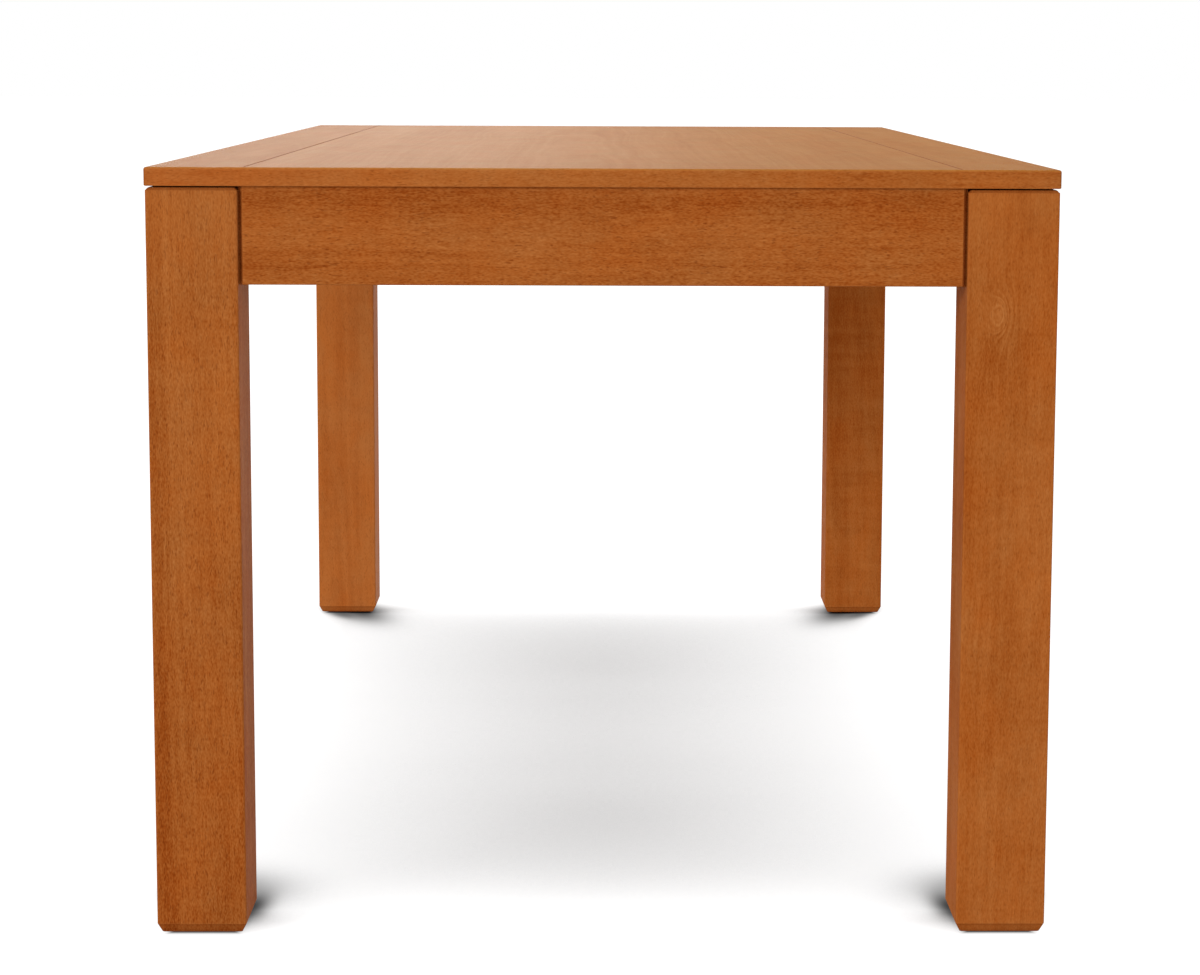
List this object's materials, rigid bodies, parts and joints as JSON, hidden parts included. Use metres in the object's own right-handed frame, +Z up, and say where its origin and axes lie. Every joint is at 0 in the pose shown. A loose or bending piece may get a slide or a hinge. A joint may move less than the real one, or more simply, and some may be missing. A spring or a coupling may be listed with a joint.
{
  "type": "parsons dining table",
  "caption": "Rectangular dining table with a thin flush top, square corner legs with bevelled feet, and set-back aprons, in stained and lacquered wood.",
  "frame": {"origin": "centre of the footprint, on the floor under the foot glides", "axes": "+X across the width to the right, +Y along the length to the back end, +Z up"},
  "size_m": [0.9, 1.8, 0.775],
  "materials": {
    "top_lacquered_wood": "satin lacquer over honey-brown stain",
    "leg_lacquered_wood": "satin lacquer over honey-brown stain",
    "apron_lacquered_wood": "satin lacquer over honey-brown stain",
    "frame_plain_wood": "planed, sealed, not stained",
    "dowel_wood": "turned or planed, unfinished",
    "zinc_steel": "zinc plated",
    "screw_steel": "yellow-passivated zinc",
    "glide_nylon": "moulded, matte brown"
  },
  "bodies": {
    "root": {"top_center_panel": "top_lacquered_wood", "top_side_board_left": "top_lacquered_wood", "top_side_board_right": "top_lacquered_wood", "top_end_lipping_front": "top_lacquered_wood", "top_end_lipping_back": "top_lacquered_wood", "leg_front_left": "leg_lacquered_wood", "leg_front_right": "leg_lacquered_wood", "leg_back_left": "leg_lacquered_wood", "leg_back_right": "leg_lacquered_wood", "end_apron_front": "apron_lacquered_wood", "end_apron_back": "apron_lacquered_wood", "side_apron_left": "apron_lacquered_wood", "side_apron_right": "apron_lacquered_wood", "cross_rail_front": "frame_plain_wood", "cross_rail_back": "frame_plain_wood", "corner_block_front_left": "frame_plain_wood", "corner_block_front_right": "frame_plain_wood", "corner_block_back_left": "frame_plain_wood", "corner_block_back_right": "frame_plain_wood", "apron_dowels": "dowel_wood", "rail_dowels": "dowel_wood", "top_spline_left": "dowel_wood", "top_spline_right": "dowel_wood", "hanger_bolts": "zinc_steel", "bolt_washers": "zinc_steel", "bolt_nuts": "zinc_steel", "tabletop_clips": "zinc_steel", "corner_block_screws": "screw_steel", "rail_screws": "screw_steel", "clip_screws": "screw_steel", "glide_nails": "screw_steel", "foot_glide_front_left": "glide_nylon", "foot_glide_front_right": "glide_nylon", "foot_glide_back_left": "glide_nylon", "foot_glide_back_right": "glide_nylon"}
  },
  "joints": []
}
